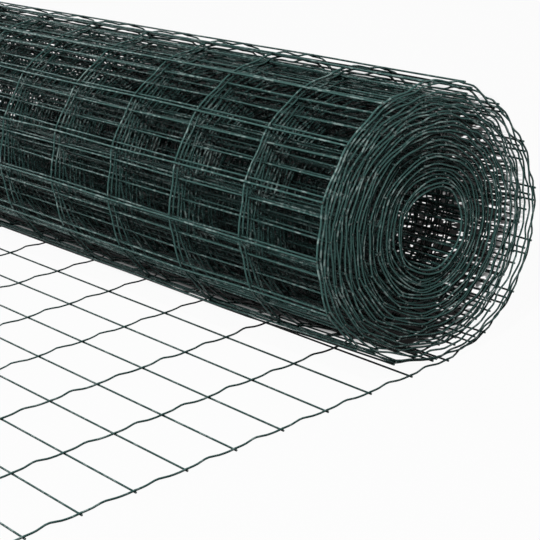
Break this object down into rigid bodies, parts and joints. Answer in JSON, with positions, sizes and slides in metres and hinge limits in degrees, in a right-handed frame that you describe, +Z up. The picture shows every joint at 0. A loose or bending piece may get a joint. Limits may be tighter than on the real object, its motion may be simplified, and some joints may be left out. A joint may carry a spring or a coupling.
{
  "type": "roll of wire fencing",
  "caption": "Roll of green coated welded wire mesh fencing lying on its side, open bore through it, outer end paid out flat on the floor.",
  "frame": {"origin": "on the floor, at the middle of the whole part's length and depth", "axes": "+X along the roll's axis, +Z up, and the loose end runs out towards -Y"},
  "size_m": [1.0028, 0.624, 0.2713],
  "materials": {
    "coated_wire": "satin"
  },
  "bodies": {
    "root": {"wound_roll": "coated_wire", "loose_end": "coated_wire"}
  },
  "joints": []
}
